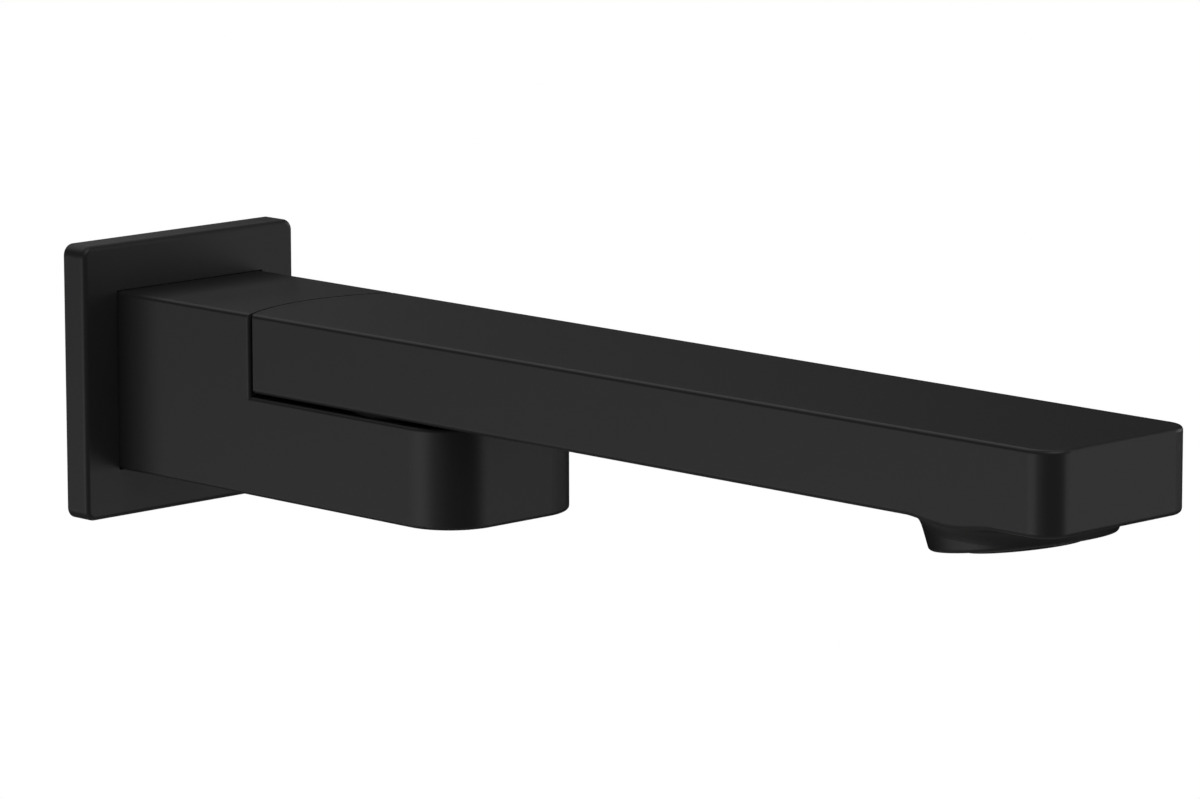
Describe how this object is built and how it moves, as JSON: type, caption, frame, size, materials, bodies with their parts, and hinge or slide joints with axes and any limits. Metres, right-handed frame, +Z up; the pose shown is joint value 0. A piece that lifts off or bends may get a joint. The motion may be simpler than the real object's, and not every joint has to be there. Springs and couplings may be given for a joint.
{
  "type": "swivel wall spout",
  "caption": "Wall-mounted bath or basin spout: square cover plate, square fixed body, long flat swivel arm and round outlet nose.",
  "frame": {"origin": "point on the finished wall where the inlet's axis meets it, at the middle of the cover plate", "axes": "+Y into the wall along the inlet, +Z up, +X to the right for someone facing the wall; the spout reaches out along -Y"},
  "size_m": [0.05, 0.2442, 0.05],
  "materials": {
    "black_coat": "satin black coating",
    "brass": "machined",
    "rubber": "smooth moulded",
    "foam": "closed-cell foam",
    "steel": "plain",
    "ptfe": "smooth",
    "black_plastic": "satin moulded",
    "grey_plastic": "moulded"
  },
  "bodies": {
    "fixed": {"wall_plate": "black_coat", "plate_gasket": "foam", "plate_grip_ring": "rubber", "fixed_body": "black_coat", "inlet_connector": "brass", "connector_seal_rear": "rubber", "connector_seal_front": "rubber", "grub_screw": "steel", "base_cap": "black_coat", "thrust_washer": "ptfe", "retaining_washer": "steel"},
    "arm": {"spout_arm": "black_coat", "swivel_spigot": "brass", "spigot_seal_upper": "rubber", "spigot_seal_lower": "rubber", "neck_seal": "rubber", "circlip": "steel", "stop_pin": "steel", "aerator_housing": "black_plastic", "aerator_seal": "rubber", "aerator_filter": "grey_plastic", "aerator_diffuser": "grey_plastic", "aerator_grid": "grey_plastic"}
  },
  "joints": [
    {"name": "arm_swivel", "type": "hinge", "parent": "fixed", "child": "arm", "pos_m": [0, -0.0713, 0], "axis": [0, 0, 1], "range_deg": [-90, 90]}
  ]
}
